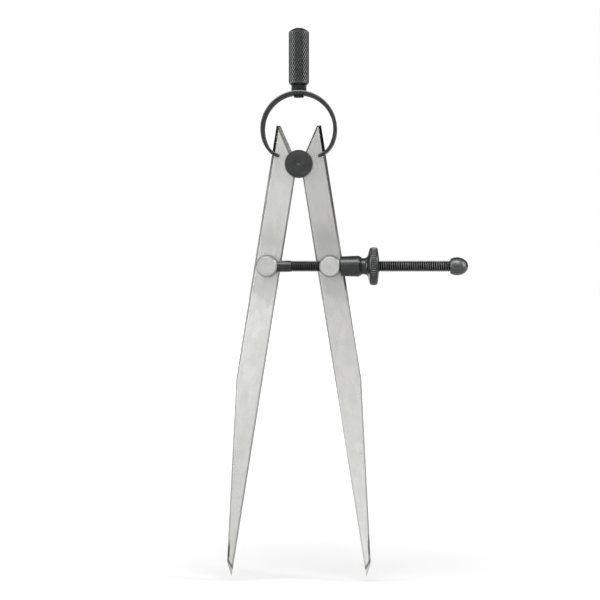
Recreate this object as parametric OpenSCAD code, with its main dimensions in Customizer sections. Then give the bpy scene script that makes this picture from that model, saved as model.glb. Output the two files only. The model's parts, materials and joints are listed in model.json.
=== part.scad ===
// Spring divider with flat legs: two pointed steel legs rock on a fulcrum stud, a bow spring
// hooks over their outer edges and pushes the points apart, and a screw with a knurled nut
// holds them at the wanted opening.
// Frame: the origin is the centre of the handle's grip, by which the divider is held upright.
// +Z is up along the handle, +X points to the nut, and the front faces -Y.

/* [Legs] */
// Length of a leg from the fulcrum's centre to its point
leg_len = 152.4; // [110:0.1:220]
// Width of the flat bar
leg_w = 9.5; // [8:0.1:12]
// Thickness of the flat bar
leg_t = 3.2; // [2.4:0.1:4.5]
// Distance from the fulcrum's centre to a leg's inner edge
leg_gap = 0.66; // [0.4:0.02:1]
// Angle of each leg from upright
half_angle = 9.06; // [4:0.02:20]
// Distance below the fulcrum where the outer edge starts to taper
knee_drop = 81; // [50:0.5:95]
// Width of a leg where its point is ground
tip_w = 2.4; // [1.6:0.1:4]
// Length of the ground point
tip_len = 5.2; // [3:0.1:8]
// Thickness left at the very point
tip_edge = 0.3; // [0.2:0.05:0.6]
// Angle of each ground face of the point
grind_angle = 24; // [15:1:35]
// Slant of the ground faces across the leg
grind_slant = 36; // [0:1:50]
// Height of the horn above the fulcrum's centre
horn_h = 12.5; // [9:0.1:15]
// Width of the horn's top
horn_w = 1.5; // [1:0.1:3]
// Bevel along the edges
leg_bevel = 0.6; // [0.1:0.05:0.7]
// Bevel of the outer edge at the horn's top, which narrows down to the knee
horn_bevel = 1.1; // [0.7:0.05:1.4]
// Bevel of the flat that is ground on the outer edge above the point
tip_bevel = 0.8; // [0.4:0.05:1]
// Length of that flat
tip_flat = 7; // [4:0.5:12]

/* [Fulcrum] */
// Diameter of the pin that the legs rock on
pin_d = 5; // [4:0.1:7]
// Diameter of the two flanges
flange_d = 10; // [8:0.1:13]
// Thickness of a flange
flange_t = 1.5; // [1:0.1:3]
// Diameter of the pin's end, riveted over the rear flange
pin_rivet_d = 3; // [2:0.1:3.6]
// Edge bevel of the rear flange and of the rivet
flange_bevel = 0.25; // [0.1:0.05:0.5]
// Height of the front flange's crown
flange_crown = 0.4; // [0.2:0.05:0.8]

/* [Bow spring] */
// Outer diameter of the bow
bow_d = 27.7; // [24:0.1:32]
// Thickness of the spring strip
bow_t = 1.4; // [1:0.05:2]
// Height of the bow's centre above the fulcrum
bow_rise = 12.6; // [10:0.1:15]
// Radius of the hooked ends, at the middle of the strip
hook_r = 7.3; // [6:0.1:9]
// Thinning of each face of the strip at its hooked ends
hook_step = 0.1; // [0.03:0.01:0.15]
// Angle below level where a hooked end starts
hook_start = 28; // [15:1:40]
// Width of each prong of the forked ends
prong_w = 1.8; // [1.2:0.1:3]
// How far a prong reaches in from a leg's outer edge
prong_reach = 2.8; // [2:0.1:4]
// Depth of the seat for the spring in a leg's outer edge
seat_depth = 0.9; // [0.5:0.05:1.4]

/* [Handle] */
// Diameter of the grip
grip_d = 7.36; // [6:0.02:10]
// Length of the grip
grip_len = 20.8; // [14:0.1:30]
// Radius of the domed top
dome_r = 5; // [5:0.1:9]
// Length of the bevel under the grip
grip_bevel = 0.8; // [0.4:0.1:1.5]
// Diameter of the neck
neck_d = 5.5; // [4.8:0.1:7]
// Length of the neck down to the bow
neck_len = 2; // [1.5:0.1:5]
// Diameter of the tenon through the bow
tenon_d = 3.7; // [3:0.1:4.4]
// How far the tenon stands out inside the bow
tenon_out = 1.1; // [0.5:0.1:2]

/* [Posts] */
// Distance down a leg from the fulcrum to its post
post_drop = 38.4; // [30:0.1:48]
// Diameter of a post
post_d = 7.6; // [6.5:0.1:9]
// Metal of a post in front of the screw
post_wall = 1.4; // [0.9:0.1:2.5]
// Bevel round a post's face
post_bevel = 0.5; // [0.2:0.05:0.9]
// Diameter of the shank that turns in the leg
shank_d = 4.8; // [3.6:0.1:5.6]
// Diameter of the washer behind the leg
washer_d = 7.6; // [6.8:0.1:9]
// Thickness of the washer
washer_t = 0.8; // [0.5:0.1:1.5]
// Diameter of the shank's riveted end
rivet_d = 6; // [5.8:0.1:6.6]
// Height of the riveted end
rivet_h = 0.7; // [0.4:0.1:1.2]

/* [Adjusting screw] */
// Outer diameter of the thread
screw_d = 4.1; // [3.4:0.05:4.8]
// Length from the anchor post's centre to the end knob
screw_len = 66; // [50:0.1:90]
// Metal of the anchor post behind the screw's end
anchor_wall = 1.2; // [0.8:0.1:2]
// Diameter of the pin that locks the screw in the anchor post
anchor_pin_d = 1.6; // [1:0.1:2]
// Depth of that pin in the metal in front of the screw
anchor_pin_bite = 0.5; // [0.2:0.1:0.7]
// Largest diameter of the end knob
knob_d = 6.5; // [5.8:0.1:9]
// Length of the end knob
knob_len = 6.4; // [5:0.1:10]
// Distance from the knob's flat end to its largest diameter
knob_belly = 2.4; // [1.5:0.1:3]
// Depth of the screw in the knob
knob_bore = 4; // [2.5:0.1:4.5]

/* [Nut and sleeve] */
// Diameter of the sleeve at the post
sleeve_d = 7.1; // [6.6:0.1:9]
// Growth of the sleeve's diameter towards the nut
sleeve_flare = 0.5; // [0.2:0.1:1.2]
// Length of the sleeve
sleeve_len = 7.5; // [5:0.1:11]
// Depth of the bevel round the sleeve's mouth
sleeve_bevel = 0.55; // [0.2:0.05:0.6]
// Length of that bevel
sleeve_bevel_len = 1.1; // [0.4:0.1:1.6]
// Outer diameter of the knurled disc
nut_d = 13.7; // [11:0.1:18]
// Thickness of the disc at its hub
nut_t = 3.9; // [3:0.1:6]
// Width of the knurled rim
rim_w = 2.8; // [2:0.1:2.9]
// Height of the rim's crown
rim_crown = 0.4; // [0.35:0.05:0.8]
// Teeth of the knurl
knurl_teeth = 52; // [24:1:64]
// Depth of the knurl
knurl_depth = 0.3; // [0.15:0.05:0.3]
// Wall of the nut's nose round the screw
nose_wall = 0.9; // [0.7:0.05:1.1]
// Length of the nose in view between sleeve and disc
nose_gap = 2.4; // [1.8:0.1:4]
// Radius of the hollow between the nose and the disc
waist_r = 1.5; // [0.8:0.1:1.7]
// Length of the nose inside the sleeve
nose_in = 2.6; // [1.5:0.1:3.5]
// Half angle of the cone that closes the nose
nose_cone = 9; // [5:1:14]
// Width of the saw cut that splits the nose
saw_cut = 0.6; // [0.3:0.1:1]

/* [Fits] */
// Radial clearance of a turning pin
run_fit = 0.05; // [0.02:0.01:0.1]
// Gap between flat faces that turn past each other
face_fit = 0.1; // [0.05:0.01:0.2]
// Radial clearance of the screw in the guide post and the sleeve
slip_fit = 0.15; // [0.05:0.01:0.3]
// Radial clearance of parts that are pressed or riveted together
press_fit = 0.02; // [0.01:0.01:0.03]
// Gap between the sleeve and the legs' front faces
sleeve_gap = 0.25; // [0.15:0.05:0.6]

/* [Hidden] */
$fn = 64;

BRIGHT = "#cfcfcb";
BLACK = "#464a48";
LEFT = -1;
RIGHT = 1;
// Overshoot that lets a cut pass cleanly through a face
CUT = 1;

// Legs: distances outward from the line through the fulcrum along the leg
leg_out = leg_gap + leg_w;
leg_mid = leg_gap + leg_w / 2;
// Bevels that differ a little from those of the next edges, so that the edges cross cleanly
horn_end_bevel = 1.2 * leg_bevel;
knee_bevel = 0.9 * leg_bevel;

// Handle: heights above the fulcrum
bow_top = bow_rise + bow_d / 2;
grip_base = bow_top + neck_len;
dome_h = dome_r - sqrt(dome_r * dome_r - grip_d * grip_d / 4);
grip_mid = grip_base + (grip_bevel + grip_len - dome_h) / 2;

// Posts: places in the upright plane, measured from the fulcrum
post_x = leg_mid * cos(half_angle) + post_drop * sin(half_angle);
post_z = leg_mid * sin(half_angle) - post_drop * cos(half_angle);

// Bow spring: the strip's middle line and its forked ends
bow_mid = (bow_d - bow_t) / 2;
fork_gap = leg_t + 2 * face_fit;
bow_w = fork_gap + 2 * prong_w;
hook_t = bow_t - 2 * hook_step;
hook_offset = bow_mid - hook_r;
hook_x = -hook_offset * cos(hook_start);
hook_z = bow_rise - hook_offset * sin(hook_start);
hook_outward = hook_offset * cos(hook_start + half_angle) + bow_rise * sin(half_angle);
// Angle below level at which the hook's middle line is that far outward on the leg
function hook_angle(outward) = acos((outward - hook_outward) / hook_r) - half_angle;
seat_angle = hook_angle(leg_out - seat_depth);
prong_angle = hook_angle(leg_out - prong_reach);
seat_fit_angle = face_fit / hook_r * 180 / PI;

// Screw line: distance in front of the legs' middle plane
sleeve_mouth_d = sleeve_d + sleeve_flare;
screw_front = leg_t / 2 + sleeve_mouth_d / 2 + sleeve_gap;
post_front = screw_front + screw_d / 2 + post_wall;
post_seat = leg_t / 2 + face_fit;
post_back = post_seat + washer_t;
anchor_depth = post_d / 2 - anchor_wall;
anchor_pin_tip = screw_front + screw_d / 2 + anchor_pin_bite;

// Sleeve and nut: places along the screw from the guide post's centre
sleeve_start = post_d / 2 + run_fit;
sleeve_end = sleeve_start + sleeve_len;
nose_d = screw_d + 2 * nose_wall;
nose_start = sleeve_end - nose_in;
nut_face = sleeve_end + nose_gap;
nose_taper = nose_in * tan(nose_cone);
nose_fit_d = 2 * face_fit / cos(nose_cone);

// Places the children in the frame, measured from the fulcrum's centre
module at_fulcrum() {
    translate([0, 0, -grip_mid]) children();
}

// Stands an outline of the upright plane up, as thick as the depth along Y
module upright(depth) {
    rotate([90, 0, 0]) linear_extrude(depth, center = true) children();
}

// Puts the children on a post's axis, with their +Z towards the front
module on_post(side) {
    at_fulcrum() translate([side * post_x, 0, post_z]) rotate([90, 0, 0]) children();
}

// Puts the children on the screw's line, with their +Z along the screw, that far from a post
module on_screw(side, along) {
    on_post(side) translate([along, 0, screw_front]) rotate([0, 90, 0]) children();
}

// Cylinder with a bevelled far end
module bevelled_cylinder(d, h, bevel) {
    cylinder(d = d, h = h - bevel);
    translate([0, 0, h - bevel]) cylinder(d1 = d, d2 = d - 2 * bevel, h = bevel);
}

// Block outside one edge of an outline, whose inner face cuts a bevel there
module edge_block(from, to, bevel) {
    run = to - from;
    size = 4 * bevel;
    translate([from.x, 0, from.y])
        rotate([0, -atan2(run.y, run.x), 0])
        rotate([45, 0, 0])
        translate([-CUT, bevel / sqrt(2) - size, -size / 2])
        cube([norm(run) + 2 * CUT, size, size]);
}

// Left leg upright, before it is swung out: seen from the front, with the fulcrum at the origin
leg_outline = [
    [-leg_gap, -leg_len],
    [-leg_gap, 0],
    [-leg_out + horn_w, horn_h],
    [-leg_out, horn_h],
    [-leg_out, -knee_drop],
    [-leg_gap - tip_w, -leg_len + tip_len]
];

tip = leg_outline[0];
horn_top = leg_outline[3];
knee = leg_outline[4];
tip_start = leg_outline[5];

module leg_blank() {
    flat_start = tip_start + tip_flat * (knee - tip_start) / norm(knee - tip_start);
    difference() {
        upright(leg_t) polygon(leg_outline);
        for (side = [0, 1]) mirror([0, side, 0]) {
            translate([0, -leg_t / 2, 0]) {
                for (i = [0, 1, 4]) edge_block(leg_outline[i], leg_outline[i + 1], leg_bevel);
                edge_block(leg_outline[2], horn_top, horn_end_bevel);
                edge_block(tip_start, tip, leg_bevel);
                edge_block(flat_start, tip_start, tip_bevel);
                outer_edge_block();
            }
            point_grind();
        }
    }
}

// Block that bevels the outer edge, most at the horn's top and least at the knee
module outer_edge_block() {
    size = 4 * horn_bevel;
    drop = horn_top.y - knee.y;
    tilt = atan2(drop * sqrt(2), horn_bevel - knee_bevel);
    translate([horn_top.x, 0, horn_top.y])
        rotate([0, tilt, 225])
        translate([-CUT, -size / 2, -horn_bevel / sqrt(2)])
        cube([drop + 2 * CUT, size, size]);
}

// Block that grinds the front face of the point, slanting across the leg
module point_grind() {
    size = 4 * tip_len;
    translate([tip.x, -tip_edge / 2, tip.y])
        rotate([0, grind_slant, 0])
        rotate([grind_angle, 0, 0])
        translate([-size / 2, -size, -size / 2])
        cube(size);
}

// Arc of the bow's left hook between two angles below level, of a strip that thick and wide
module hook_arc(from, to, thick, wide) {
    translate([hook_x, 0, hook_z])
        rotate([90, 0, 0])
        rotate([0, 0, 180 + from])
        rotate_extrude(angle = to - from)
        translate([hook_r - thick / 2, -wide / 2]) square([thick, wide]);
}

module left_leg_solid() {
    at_fulcrum() difference() {
        rotate([0, half_angle, 0]) leg_blank();
        // Hollow that rocks on the fulcrum's pin
        rotate([90, 0, 0])
            cylinder(d = pin_d + 2 * run_fit, h = leg_t + 2 * CUT, center = true);
        // Seat of the bow spring in the outer edge
        hook_arc(hook_start, seat_angle + seat_fit_angle, hook_t + 2 * face_fit, leg_t + 2 * CUT);
        // Bearing of the post
        translate([-post_x, 0, post_z]) rotate([90, 0, 0])
            cylinder(d = shank_d + 2 * run_fit, h = leg_t + 2 * CUT, center = true);
    }
}

module left_leg() {
    color(BRIGHT) left_leg_solid();
}

module right_leg() {
    color(BRIGHT) mirror([1, 0, 0]) left_leg_solid();
}

// Headed stud: the front flange, the pin that the legs rock on and the end that is riveted over
module fulcrum_stud() {
    half_pin = leg_t / 2 + face_fit;
    crown_r = (flange_d * flange_d / 4 + flange_crown * flange_crown) / (2 * flange_crown);
    color(BLACK) at_fulcrum() rotate([90, 0, 0]) {
        translate([0, 0, half_pin]) intersection() {
            cylinder(d = flange_d, h = flange_t);
            translate([0, 0, flange_t - crown_r]) sphere(r = crown_r, $fn = 200);
        }
        translate([0, 0, -half_pin]) cylinder(d = pin_d, h = 2 * half_pin);
        rotate([180, 0, 0])
            bevelled_cylinder(pin_rivet_d, half_pin + flange_t + flange_bevel, flange_bevel);
    }
}

module fulcrum_rear_flange() {
    color(BLACK) at_fulcrum() rotate([-90, 0, 0]) translate([0, 0, leg_t / 2 + face_fit])
        difference() {
            bevelled_cylinder(flange_d, flange_t, flange_bevel);
            translate([0, 0, -CUT])
                cylinder(d = pin_rivet_d + 2 * press_fit, h = flange_t + 2 * CUT);
        }
}

// Flat strip rolled into a bow, with forked ends that straddle the legs
module bow_spring() {
    arc = 180 + 2 * hook_start;
    lap = 2;
    color(BLACK) at_fulcrum() difference() {
        union() {
            translate([0, 0, bow_rise]) rotate([90, 0, 0]) rotate([0, 0, -hook_start])
                rotate_extrude(angle = arc)
                translate([bow_d / 2 - bow_t, -bow_w / 2]) square([bow_t, bow_w]);
            for (side = [0, 1])
                mirror([side, 0, 0]) hook_arc(hook_start - lap, prong_angle, hook_t, bow_w);
        }
        for (side = [0, 1])
            mirror([side, 0, 0])
                hook_arc(seat_angle, prong_angle + 30, bow_t + 2 * CUT, fork_gap);
        translate([0, 0, bow_rise]) cylinder(d = tenon_d + 2 * press_fit, h = bow_d);
    }
}

// Grip with a domed top, and a neck whose end is hollowed to sit on the bow
module handle() {
    tenon_low = bow_top - bow_t - tenon_out;
    color(BLACK) at_fulcrum() {
        intersection() {
            translate([0, 0, grip_base]) {
                cylinder(d1 = grip_d - 2 * grip_bevel, d2 = grip_d, h = grip_bevel);
                translate([0, 0, grip_bevel]) cylinder(d = grip_d, h = grip_len - grip_bevel);
            }
            union() {
                translate([0, 0, grip_base + grip_len - dome_r]) sphere(r = dome_r);
                translate([0, 0, grip_base]) cylinder(d = grip_d + CUT, h = grip_len - dome_r);
            }
        }
        difference() {
            translate([0, 0, bow_rise]) cylinder(d = neck_d, h = grip_base - bow_rise);
            translate([0, 0, bow_rise]) rotate([90, 0, 0])
                cylinder(d = bow_d + 2 * press_fit, h = neck_d + 2 * CUT, center = true);
        }
        translate([0, 0, tenon_low]) cylinder(d = tenon_d, h = grip_base - tenon_low);
    }
}

// Post that stands on a leg's front face and turns in it, riveted over a washer behind
module post_blank() {
    translate([0, 0, post_seat]) bevelled_cylinder(post_d, post_front - post_seat, post_bevel);
    translate([0, 0, -post_back]) cylinder(d = shank_d, h = post_back + post_seat);
    rotate([180, 0, 0]) translate([0, 0, post_back])
        bevelled_cylinder(rivet_d, rivet_h, rivet_h / 2);
}

module post_washer() {
    translate([0, 0, -post_back]) difference() {
        cylinder(d = washer_d, h = washer_t);
        translate([0, 0, -CUT]) cylinder(d = shank_d + 2 * run_fit, h = washer_t + 2 * CUT);
    }
}

// Post of the left leg, with a blind hole that holds the screw
module anchor_post() {
    color(BRIGHT) difference() {
        on_post(LEFT) post_blank();
        on_screw(LEFT, -anchor_depth) cylinder(d = screw_d + 2 * press_fit, h = post_d + CUT);
        anchor_pin_hole();
    }
}

module anchor_post_washer() {
    color(BRIGHT) on_post(LEFT) post_washer();
}

// Post of the right leg, which the screw slides through
module guide_post() {
    color(BRIGHT) difference() {
        on_post(RIGHT) post_blank();
        on_screw(RIGHT, -post_d / 2 - CUT) cylinder(d = screw_d + 2 * slip_fit, h = post_d + 2 * CUT);
    }
}

module guide_post_washer() {
    color(BRIGHT) on_post(RIGHT) post_washer();
}

// Hole for the locking pin, from the post's riveted end up through the screw
module anchor_pin_hole() {
    on_post(LEFT) translate([0, 0, -post_back - rivet_h - CUT])
        cylinder(d = anchor_pin_d + 2 * press_fit,
                 h = post_back + rivet_h + CUT + anchor_pin_tip + press_fit);
}

// Pin driven in from behind, which keeps the screw from turning or pulling out
module anchor_pin() {
    color(BRIGHT) on_post(LEFT) translate([0, 0, -post_back - rivet_h])
        cylinder(d = anchor_pin_d, h = post_back + rivet_h + anchor_pin_tip);
}

module adjusting_screw() {
    start = -anchor_depth + press_fit;
    color(BLACK) difference() {
        on_screw(LEFT, start) cylinder(d = screw_d, h = screw_len + knob_bore - press_fit - start);
        anchor_pin_hole();
    }
}

// Acorn knob that keeps the nut on the screw: part of an ellipse, turned round the screw
module screw_end_knob() {
    reach = knob_len - knob_belly;
    first = asin(knob_belly / reach);
    steps = 14;
    rim = [for (i = [0 : steps]) let (a = -first + i * (90 + first) / steps)
        [knob_d / 2 * cos(a), knob_belly + reach * sin(a)]];
    color(BLACK) on_screw(LEFT, screw_len) difference() {
        rotate_extrude() polygon(concat([[0, 0]], rim));
        translate([0, 0, -CUT]) cylinder(d = screw_d + 2 * press_fit, h = knob_bore + CUT);
    }
}

// Sleeve between the guide post and the nut, with a cone in its mouth that closes the nut's nose
module thrust_sleeve() {
    mouth_d = nose_d + nose_fit_d;
    color(BLACK) on_screw(RIGHT, sleeve_start) difference() {
        union() {
            body_len = sleeve_len - sleeve_bevel_len;
            lip_d = sleeve_mouth_d - 2 * sleeve_bevel;
            cylinder(d1 = sleeve_d, d2 = sleeve_mouth_d, h = body_len);
            translate([0, 0, body_len])
                cylinder(d1 = sleeve_mouth_d, d2 = lip_d, h = sleeve_bevel_len);
        }
        translate([0, 0, -CUT]) cylinder(d = screw_d + 2 * slip_fit, h = sleeve_len + 2 * CUT);
        translate([0, 0, sleeve_len - nose_in - face_fit])
            cylinder(d = mouth_d - 2 * nose_taper, h = nose_in);
        translate([0, 0, sleeve_len - nose_in])
            cylinder(d1 = mouth_d - 2 * nose_taper, d2 = mouth_d, h = nose_in);
    }
}

// Star that cuts the knurl's teeth: its points run past the rim, which leaves them narrow lands
module knurl_star() {
    half = 180 / knurl_teeth;
    past = knurl_depth / 3;
    polygon([for (i = [0 : 2 * knurl_teeth - 1])
        let (r = nut_d / 2 + (i % 2 == 0 ? past : -knurl_depth))
        [r * cos(i * half), r * sin(i * half)]]);
}

// Nut: a split nose that the sleeve squeezes on the thread, and a knurled disc to turn it by
module adjusting_nut() {
    nose_len = nose_in + nose_gap;
    hub = nose_d / 2;
    flank = (nut_t - rim_w) / 2;
    crown_r = (rim_w * rim_w / 4 + rim_crown * rim_crown) / (2 * rim_crown);
    crown_angle = asin(rim_w / 2 / crown_r);
    steps = 6;
    waist = [for (i = [0 : steps]) let (a = 90 * i / steps)
        [hub + waist_r * (1 - cos(a)), nose_len - waist_r * (1 - sin(a))]];
    crown = [for (i = [0 : steps]) let (a = crown_angle * (2 * i / steps - 1))
        [nut_d / 2 - crown_r * (1 - cos(a)), nut_t / 2 + crown_r * sin(a)]];
    nose = concat([[0, 0], [hub - nose_taper, 0], [hub, nose_in]], waist,
                  [[hub, nose_len + flank], [0, nose_len + flank]]);
    disc = concat([[0, 0], [hub + waist_r, 0]], crown, [[hub, nut_t], [0, nut_t]]);
    color(BLACK) on_screw(RIGHT, nose_start) difference() {
        union() {
            rotate_extrude() polygon(nose);
            translate([0, 0, nose_len]) intersection() {
                rotate_extrude() polygon(disc);
                linear_extrude(nut_t) knurl_star();
            }
        }
        translate([0, 0, -CUT]) cylinder(d = screw_d + 2 * run_fit, h = nose_len + nut_t + 2 * CUT);
        translate([-saw_cut / 2, -nose_d, -CUT]) cube([saw_cut, 2 * nose_d, nose_len - waist_r + CUT]);
    }
}

left_leg();
right_leg();
fulcrum_stud();
fulcrum_rear_flange();
bow_spring();
handle();
anchor_post();
anchor_post_washer();
anchor_pin();
adjusting_screw();
screw_end_knob();
guide_post();
guide_post_washer();
thrust_sleeve();
adjusting_nut();
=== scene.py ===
import json
import math

import bpy
import numpy as np
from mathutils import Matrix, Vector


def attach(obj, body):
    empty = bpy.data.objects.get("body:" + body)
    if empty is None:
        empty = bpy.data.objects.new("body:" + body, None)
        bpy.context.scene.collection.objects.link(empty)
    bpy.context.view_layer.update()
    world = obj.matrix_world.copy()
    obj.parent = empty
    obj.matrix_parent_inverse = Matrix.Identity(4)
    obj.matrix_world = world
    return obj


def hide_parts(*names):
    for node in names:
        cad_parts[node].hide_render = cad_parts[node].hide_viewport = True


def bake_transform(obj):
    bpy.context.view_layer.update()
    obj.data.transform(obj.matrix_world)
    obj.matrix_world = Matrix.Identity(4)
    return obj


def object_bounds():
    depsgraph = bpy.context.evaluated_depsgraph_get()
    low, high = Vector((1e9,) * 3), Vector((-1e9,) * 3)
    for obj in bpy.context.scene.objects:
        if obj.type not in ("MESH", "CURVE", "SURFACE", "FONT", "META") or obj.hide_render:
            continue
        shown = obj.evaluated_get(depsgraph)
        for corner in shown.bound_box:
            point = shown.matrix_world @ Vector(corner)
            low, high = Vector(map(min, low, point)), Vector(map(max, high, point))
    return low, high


# A spring divider with flat legs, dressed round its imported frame.
# Metres, +Z up along the handle, +X towards the nut, and the front faces -Y.
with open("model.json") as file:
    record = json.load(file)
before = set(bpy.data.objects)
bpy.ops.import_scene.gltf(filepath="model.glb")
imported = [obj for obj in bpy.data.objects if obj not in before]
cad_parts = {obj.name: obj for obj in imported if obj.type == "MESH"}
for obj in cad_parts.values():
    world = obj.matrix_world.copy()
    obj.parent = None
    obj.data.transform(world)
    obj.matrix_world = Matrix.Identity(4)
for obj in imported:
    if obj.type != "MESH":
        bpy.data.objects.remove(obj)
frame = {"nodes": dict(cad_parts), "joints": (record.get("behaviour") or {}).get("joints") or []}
cad_low, cad_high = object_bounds()
cad = frame["nodes"]
joint_place = {joint["name"]: joint["pos_m"] for joint in frame["joints"]}

# Legs: two flat bars of tool steel, forged with a horn at the top and a ground point at the bottom.
# Their faces are polished and left bright, smudged by handling round the posts, and darker in a thin ring
# in the corners against the posts and the fulcrum. Their tone along the bar, their bevels, walls and horn
# edges and the grind at the point carry painted light and shade, set for each leg. They rock on the
# fulcrum's pin.
mm = 0.001
half_angle = math.radians(9.06)
fulcrum_z = joint_place["left_leg_swing"][2]
post_x, _, post_z = joint_place["guide_swivel"]
leg_length = 152.4 * mm
tip_z = cad_low.z
tip_x = math.sqrt(leg_length ** 2 - (fulcrum_z - tip_z) ** 2)
leg_edge = 0.1 * mm
wall_line = 0.42 * mm
grind_z = tip_z + 4 * mm
grind_rise = 1.7
horn_top_z = fulcrum_z + 12.8 * mm
horn_foot_x = 2.73 * mm
horn_foot_z = fulcrum_z + 4.66 * mm
horn_lean = math.radians(23.4)
horn_shade_width = 1.2 * mm
horn_shade_fade = 0.25 * mm
flange_radius = 5 * mm
post_radius = 3.8 * mm
smudge_z = post_z - 9 * mm
thumb_x = post_x - 1.4 * mm
thumb_z = post_z + 9 * mm
steel_tint = (1, 0.995, 0.967)
worn_tone = (0.5, 0.5, 0.48, 1)
light_wall_tone = (0.42, 0.42, 0.4, 1)
line_tone = (0.4, 0.4, 0.385, 1)
rub_tone = (0.36, 0.36, 0.345, 1)
smudge_tone = (0.33, 0.33, 0.315, 1)
thumb_tone = (0.3, 0.3, 0.285, 1)
dark_wall_tone = (0.3, 0.3, 0.288, 1)
point_facet_shade_tone = (0.16, 0.16, 0.155, 1)
horn_shade_tone = (0.14, 0.14, 0.135, 1)
edge_shade_tone = (0.1, 0.1, 0.096, 1)
bevel_band_tone = (0.05, 0.05, 0.05, 1)
ring_dark_tone = (0.05, 0.05, 0.047, 1)


def new_material(name):
    """An empty node material, with its tree and its Principled shader."""
    material = bpy.data.materials.new(name)
    material.use_nodes = True
    return material, material.node_tree, material.node_tree.nodes["Principled BSDF"]


def connect(tree, socket, value):
    """Links a socket to this one, or sets a plain value on it."""
    if isinstance(value, bpy.types.NodeSocket):
        tree.links.new(value, socket)
    else:
        socket.default_value = value


def add_node(tree, kind, inputs, **settings):
    """Adds a shader node with its settings, and links or sets its inputs by name or number."""
    made = tree.nodes.new("ShaderNode" + kind)
    for name, value in settings.items():
        setattr(made, name, value)
    for name, value in inputs.items():
        connect(tree, made.inputs[name], value)
    return made


def object_place(tree):
    """The place of each point in the object's own frame."""
    return add_node(tree, "TexCoord", {}).outputs["Object"]


def split(tree, vector):
    """X, Y and Z of a vector, by name."""
    return add_node(tree, "SeparateXYZ", {"Vector": vector}).outputs


def face_normal(tree):
    """X, Y and Z of the face's own normal, by name."""
    return split(tree, add_node(tree, "NewGeometry", {}).outputs["True Normal"])


def spread(tree, value, low, high, to_low, to_high):
    """Carries a value from one span to another, held at the ends."""
    span = {"Value": value, "From Min": low, "From Max": high, "To Min": to_low, "To Max": to_high}
    return add_node(tree, "MapRange", span).outputs["Result"]


def multiply(tree, first, second):
    """The product of two values."""
    return add_node(tree, "Math", {0: first, 1: second}, operation="MULTIPLY").outputs["Value"]


def add_up(tree, first, second):
    """The sum of two values."""
    return add_node(tree, "Math", {0: first, 1: second}, operation="ADD").outputs["Value"]


def absolute(tree, value):
    """A value without its sign."""
    return add_node(tree, "Math", {0: value}, operation="ABSOLUTE").outputs["Value"]


def mix_colours(tree, share, first, second):
    """First colour at share 0, second at share 1."""
    return add_node(tree, "Mix", {0: share, 6: first, 7: second}, data_type="RGBA").outputs[2]


def tone_ramp(tree, share, stops, tint=(1, 1, 1)):
    """A tinted grey that runs through its stops, each a place from 0 to 1 and a tone."""
    made = add_node(tree, "ValToRGB", {"Fac": share})
    points = made.color_ramp.elements
    for place, _ in stops[1:-1]:
        points.new(place)
    for point, (place, tone) in zip(points, stops):
        point.position = place
        point.color = (*(tone * part for part in tint), 1)
    return made.outputs["Color"]


def noise(tree, place, scale, detail=3.0, stretch=(1, 1, 1)):
    """Cloudy noise on a place vector, drawn out where its stretch is below 1."""
    stretched = add_node(tree, "Mapping", {"Vector": place, "Scale": stretch})
    inputs = {"Vector": stretched.outputs["Vector"], "Scale": scale, "Detail": detail}
    return add_node(tree, "TexNoise", inputs).outputs["Fac"]


def line_noise(tree, distance, scale):
    """Lines of uneven strength: noise that changes only with a distance."""
    inputs = {"W": distance, "Scale": scale, "Detail": 2}
    return add_node(tree, "TexNoise", inputs, noise_dimensions="1D").outputs["Fac"]


def off_axis(tree, place, centre, across=(1, 0, 1)):
    """Distance from a line through a centre: along Y, or along the axis that across leaves out."""
    moved = add_node(tree, "VectorMath", {0: place, 1: centre}, operation="SUBTRACT").outputs["Vector"]
    flat = add_node(tree, "VectorMath", {0: moved, 1: across}, operation="MULTIPLY").outputs["Vector"]
    return add_node(tree, "VectorMath", {0: flat}, operation="LENGTH").outputs["Value"]


def past_plane(tree, place, start, normal):
    """Distance past a plane through a start, along its normal, and below 0 on the near side."""
    moved = add_node(tree, "VectorMath", {0: place, 1: start}, operation="SUBTRACT").outputs["Vector"]
    return add_node(tree, "VectorMath", {0: moved, 1: normal}, operation="DOT_PRODUCT").outputs["Value"]


def rounded_normal(tree, width):
    """The normal, with sharp edges rounded by a width."""
    return add_node(tree, "Bevel", {"Radius": width}, samples=6).outputs["Normal"]


def worn_edges(tree, width):
    """A share that is 1 on sharp edges and 0 on open faces, and the normal rounded there by that width."""
    rounded = rounded_normal(tree, width)
    plain = add_node(tree, "NewGeometry", {}).outputs["Normal"]
    likeness = add_node(tree, "VectorMath", {0: rounded, 1: plain}, operation="DOT_PRODUCT")
    return spread(tree, likeness.outputs["Value"], 0.995, 0.9, 0.0, 1.0), rounded


def scratched(tree, height, strength, depth, normal):
    """A normal tilted by the slope of a height."""
    inputs = {"Strength": strength, "Distance": depth, "Height": height, "Normal": normal}
    return add_node(tree, "Bump", inputs).outputs["Normal"]


def dress(node_name, material):
    """Gives a CAD node its material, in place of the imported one."""
    materials = cad[node_name].data.materials
    materials.clear()
    materials.append(material)


def smudged_face(tree, tone, place, side, clouds, thumbed):
    """A tone with cloudy smudges, thickest a little below the post, and a thumb mark above it."""
    near_post = off_axis(tree, place, (side * post_x, 0, smudge_z))
    patches = spread(tree, clouds, 0.49, 0.54, 0, 1)
    handled = multiply(tree, patches, spread(tree, near_post, 5 * mm, 26 * mm, 0.32, 0.08))
    tone = mix_colours(tree, handled, tone, smudge_tone)
    near_thumb = off_axis(tree, place, (side * thumb_x, 0, thumb_z))
    uneven = spread(tree, clouds, 0.4, 0.6, 0.7, 1)
    thumb_mark = multiply(tree, spread(tree, near_thumb, 3 * mm, 9 * mm, thumbed, 0), uneven)
    return mix_colours(tree, thumb_mark, tone, thumb_tone)


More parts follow.
